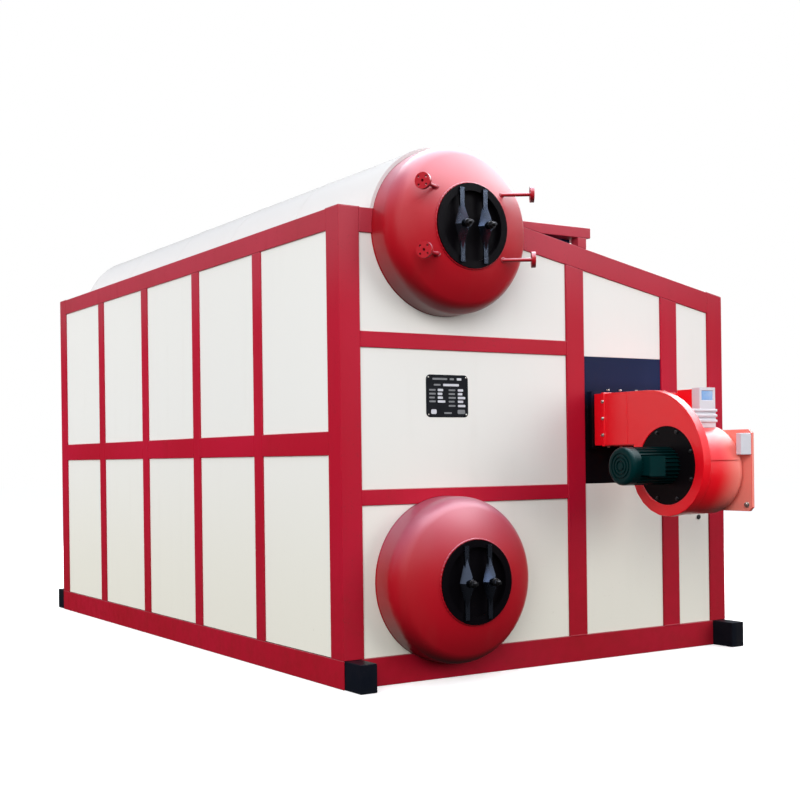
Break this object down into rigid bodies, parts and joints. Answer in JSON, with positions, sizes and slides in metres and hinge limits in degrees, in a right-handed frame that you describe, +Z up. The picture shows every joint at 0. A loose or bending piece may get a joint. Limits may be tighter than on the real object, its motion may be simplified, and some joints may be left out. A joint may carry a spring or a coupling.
{
  "type": "steam boiler",
  "caption": "Packaged water-tube steam boiler: red framed casing with cream panels on skids, twin drums with dished heads and manholes, a front fan burner and a roof flue outlet",
  "frame": {"origin": "on the ground, in the middle of the casing's footprint, on the underside of the middle base cross beam", "axes": "X to the right as seen from the burner front, Y from the front to the rear along the drums, Z up"},
  "size_m": [3.11, 6.28, 3.2093],
  "materials": {
    "frame_red": "deep red gloss paint on welded steel sections, a little worn on the edges",
    "skid_black": "black paint on the skid rails, scuffed at the ends",
    "panel_cream": "cream-white painted sheet over insulation",
    "drum_red": "red gloss paint on pressed steel plate",
    "lagging_white": "white painted cladding sheet",
    "manhole_black": "black paint on forged and cast steel",
    "plate_navy": "blue-black heat-proof paint on plate",
    "burner_red": "bright red gloss enamel on cast aluminium",
    "motor_green": "dark green-black paint on a cast motor frame",
    "box_grey": "light blue-grey enamel on sheet"
  },
  "bodies": {
    "root": {"base_end_beams": "frame_red", "base_side_skirts": "frame_red", "base_cross_beams": "frame_red", "floor_plate": "frame_red", "corner_posts": "frame_red", "front_posts": "frame_red", "rear_posts": "frame_red", "front_cross_beams": "frame_red", "rear_cross_beams": "frame_red", "front_top_beam": "frame_red", "rear_top_beam": "frame_red", "side_posts": "frame_red", "side_mid_beams": "frame_red", "side_top_beams": "frame_red", "flue_flange": "frame_red", "flue_legs": "frame_red", "skid_rails": "skid_black", "front_upper_panel": "panel_cream", "front_middle_panel": "panel_cream", "front_lower_panel": "panel_cream", "burner_bay_panels": "panel_cream", "front_right_panel": "panel_cream", "left_panels": "panel_cream", "right_panels": "panel_cream", "rear_panels": "panel_cream", "roof_left_strip": "panel_cream", "roof_slope_front": "panel_cream", "roof_slope_rear": "panel_cream", "upper_drum_shell": "drum_red", "upper_front_head": "drum_red", "lower_drum_shell": "drum_red", "lower_front_head": "drum_red", "rear_heads": "drum_red", "level_nozzles": "drum_red", "upper_lagging": "lagging_white", "manhole_rings": "manhole_black", "manhole_covers": "manhole_black", "manhole_yokes": "manhole_black", "motor_plate": "manhole_black", "flue_neck": "plate_navy", "burner_plate": "plate_navy", "burner_neck": "burner_red", "burner_volute": "burner_red", "inlet_drum": "burner_red", "end_plate": "burner_red", "burner_motor": "motor_green", "air_damper": "box_grey", "control_box": "box_grey"}
  },
  "joints": []
}
